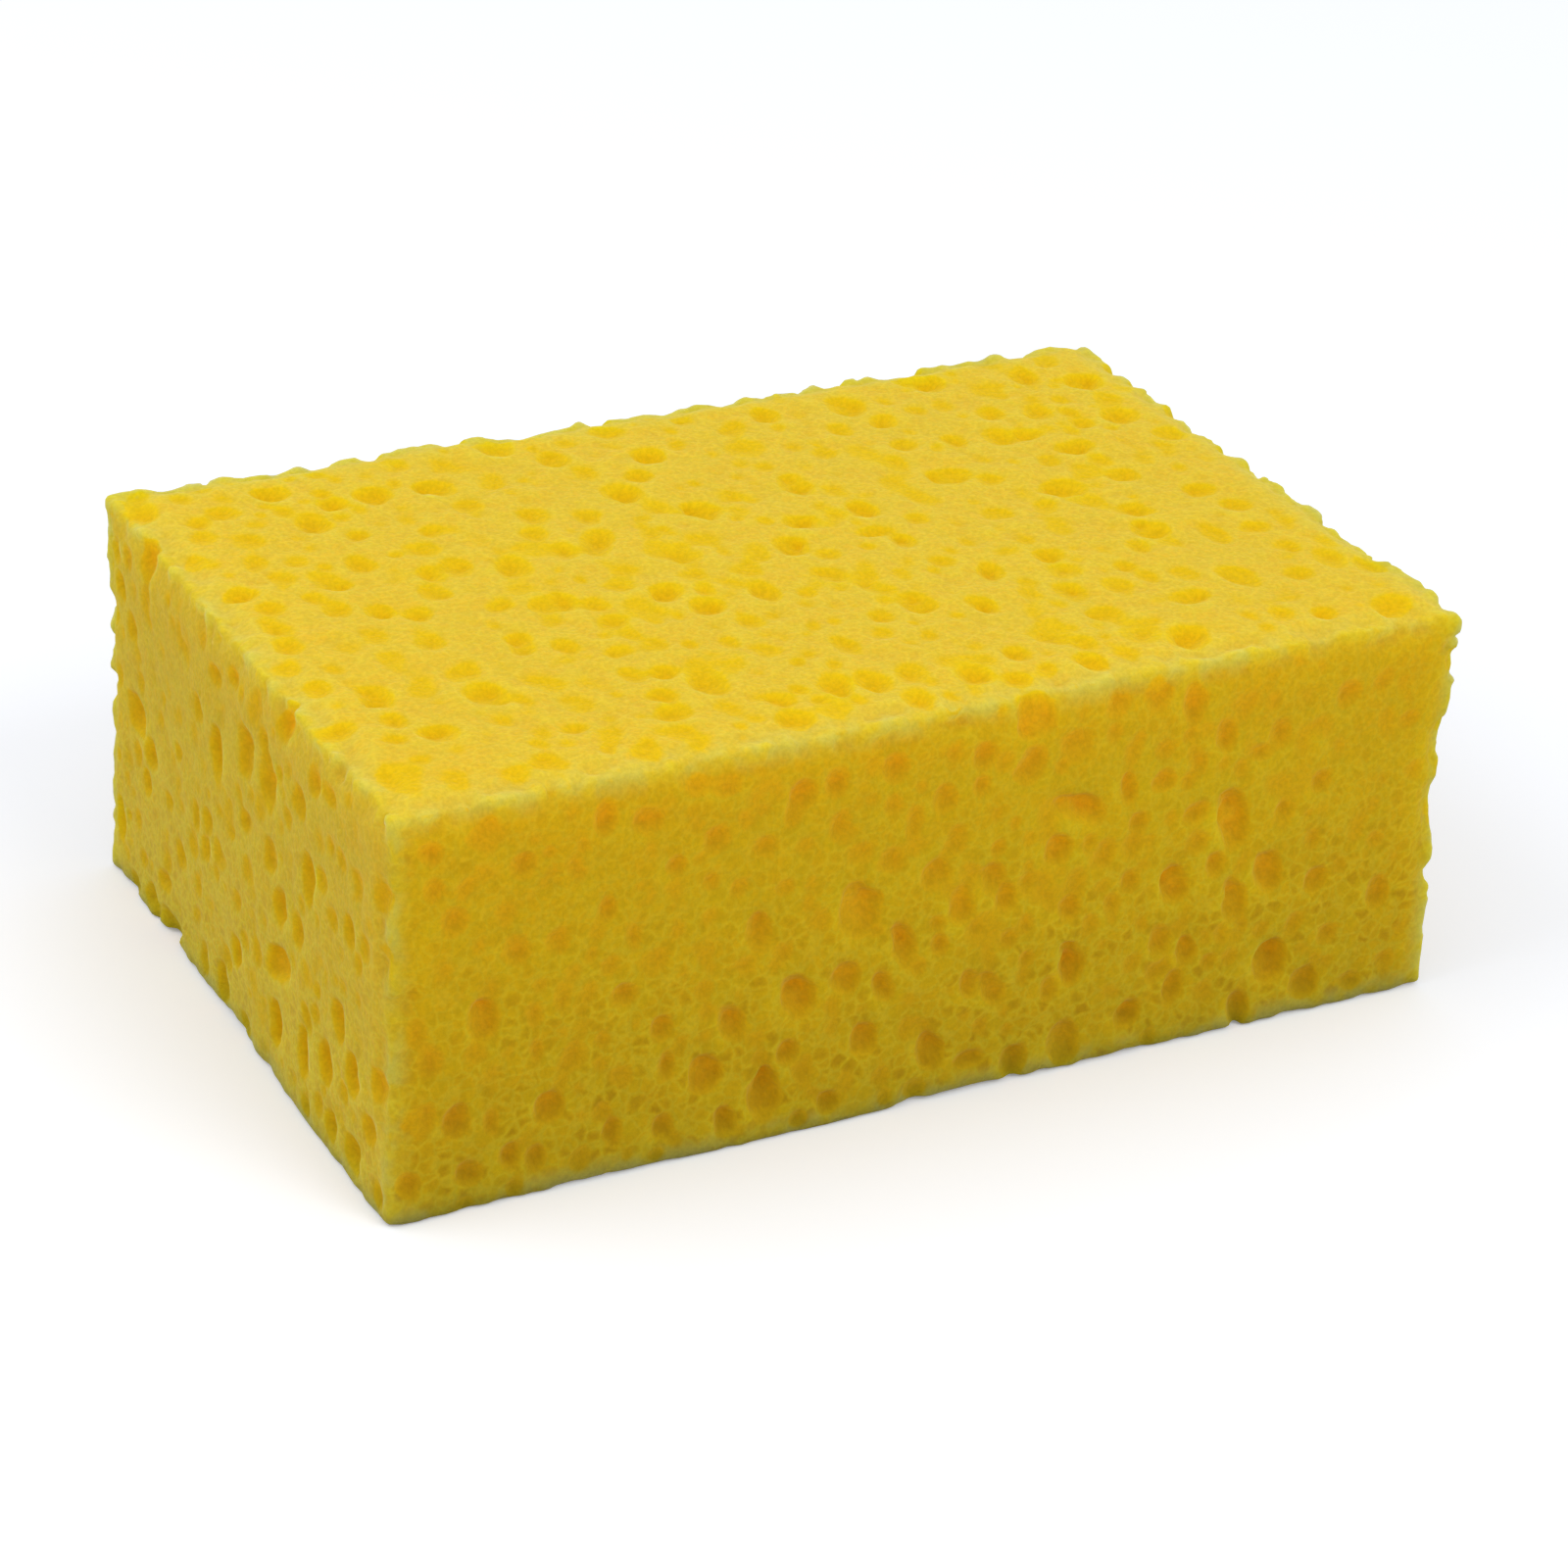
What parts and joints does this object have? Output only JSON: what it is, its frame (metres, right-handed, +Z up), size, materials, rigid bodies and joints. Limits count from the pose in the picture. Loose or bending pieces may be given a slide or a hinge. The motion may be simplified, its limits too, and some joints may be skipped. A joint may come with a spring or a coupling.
{
  "type": "grout sponge",
  "caption": "Rectangular block of yellow open-celled foam, cut square, with large blown pores on every face, for wiping grout off tiles.",
  "frame": {"origin": "middle of the underside, on the surface that the block rests on", "axes": "+X along the length, +Y from the front long side to the back, +Z up through the thickness"},
  "size_m": [0.16, 0.105, 0.06],
  "materials": {
    "foam": "matt open-celled foam"
  },
  "bodies": {
    "root": {"foam_block": "foam"}
  },
  "joints": []
}
